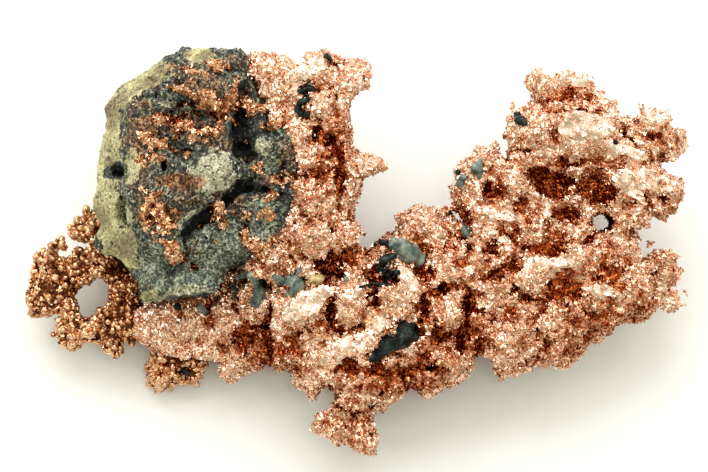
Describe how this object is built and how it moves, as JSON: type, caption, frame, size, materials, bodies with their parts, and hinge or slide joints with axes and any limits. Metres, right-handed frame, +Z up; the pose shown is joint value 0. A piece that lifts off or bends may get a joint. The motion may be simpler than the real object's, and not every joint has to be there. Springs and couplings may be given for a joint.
{
  "type": "native copper nugget",
  "caption": "Branching mass of crystallised native copper grown through and over a block of dark green lava, a loose hand specimen that lies flat.",
  "frame": {"origin": "on the surface it rests on, under the middle of its box", "axes": "+Z up, +X along its length from the rock's loop of copper towards the two small lobes at the far end, +Y towards the edge with the column's and the crown's tops"},
  "size_m": [0.0798, 0.0492, 0.0263],
  "materials": {
    "lava": "altered basalt, dark green and mottled, with a pale yellow-green weathered rim; rough and matt",
    "copper": "native copper, bright salmon pink on the crystal faces and red-brown in the hollows, as hackly grains",
    "copper_brown": "native copper with a browner, golden tarnish, as coarse droplets",
    "dark_clot": "green-black chlorite with a waxy sheen",
    "pale_clot": "grey-green copper alteration, smooth and dull"
  },
  "bodies": {
    "root": {"matrix_rock": "lava", "copper_left_loop": "copper_brown", "copper_lower_ledge": "copper", "copper_lower_knob": "copper_brown", "copper_upper_column": "copper", "copper_centre_body": "copper", "copper_pendant": "copper", "copper_right_body": "copper", "copper_crown": "copper", "copper_upper_wing": "copper", "copper_tail": "copper", "clot_waxy_centre": "dark_clot", "clot_saddle": "pale_clot", "clot_hook": "dark_clot", "clot_bow": "pale_clot", "clot_drip": "pale_clot", "clot_bead": "pale_clot"}
  },
  "joints": []
}
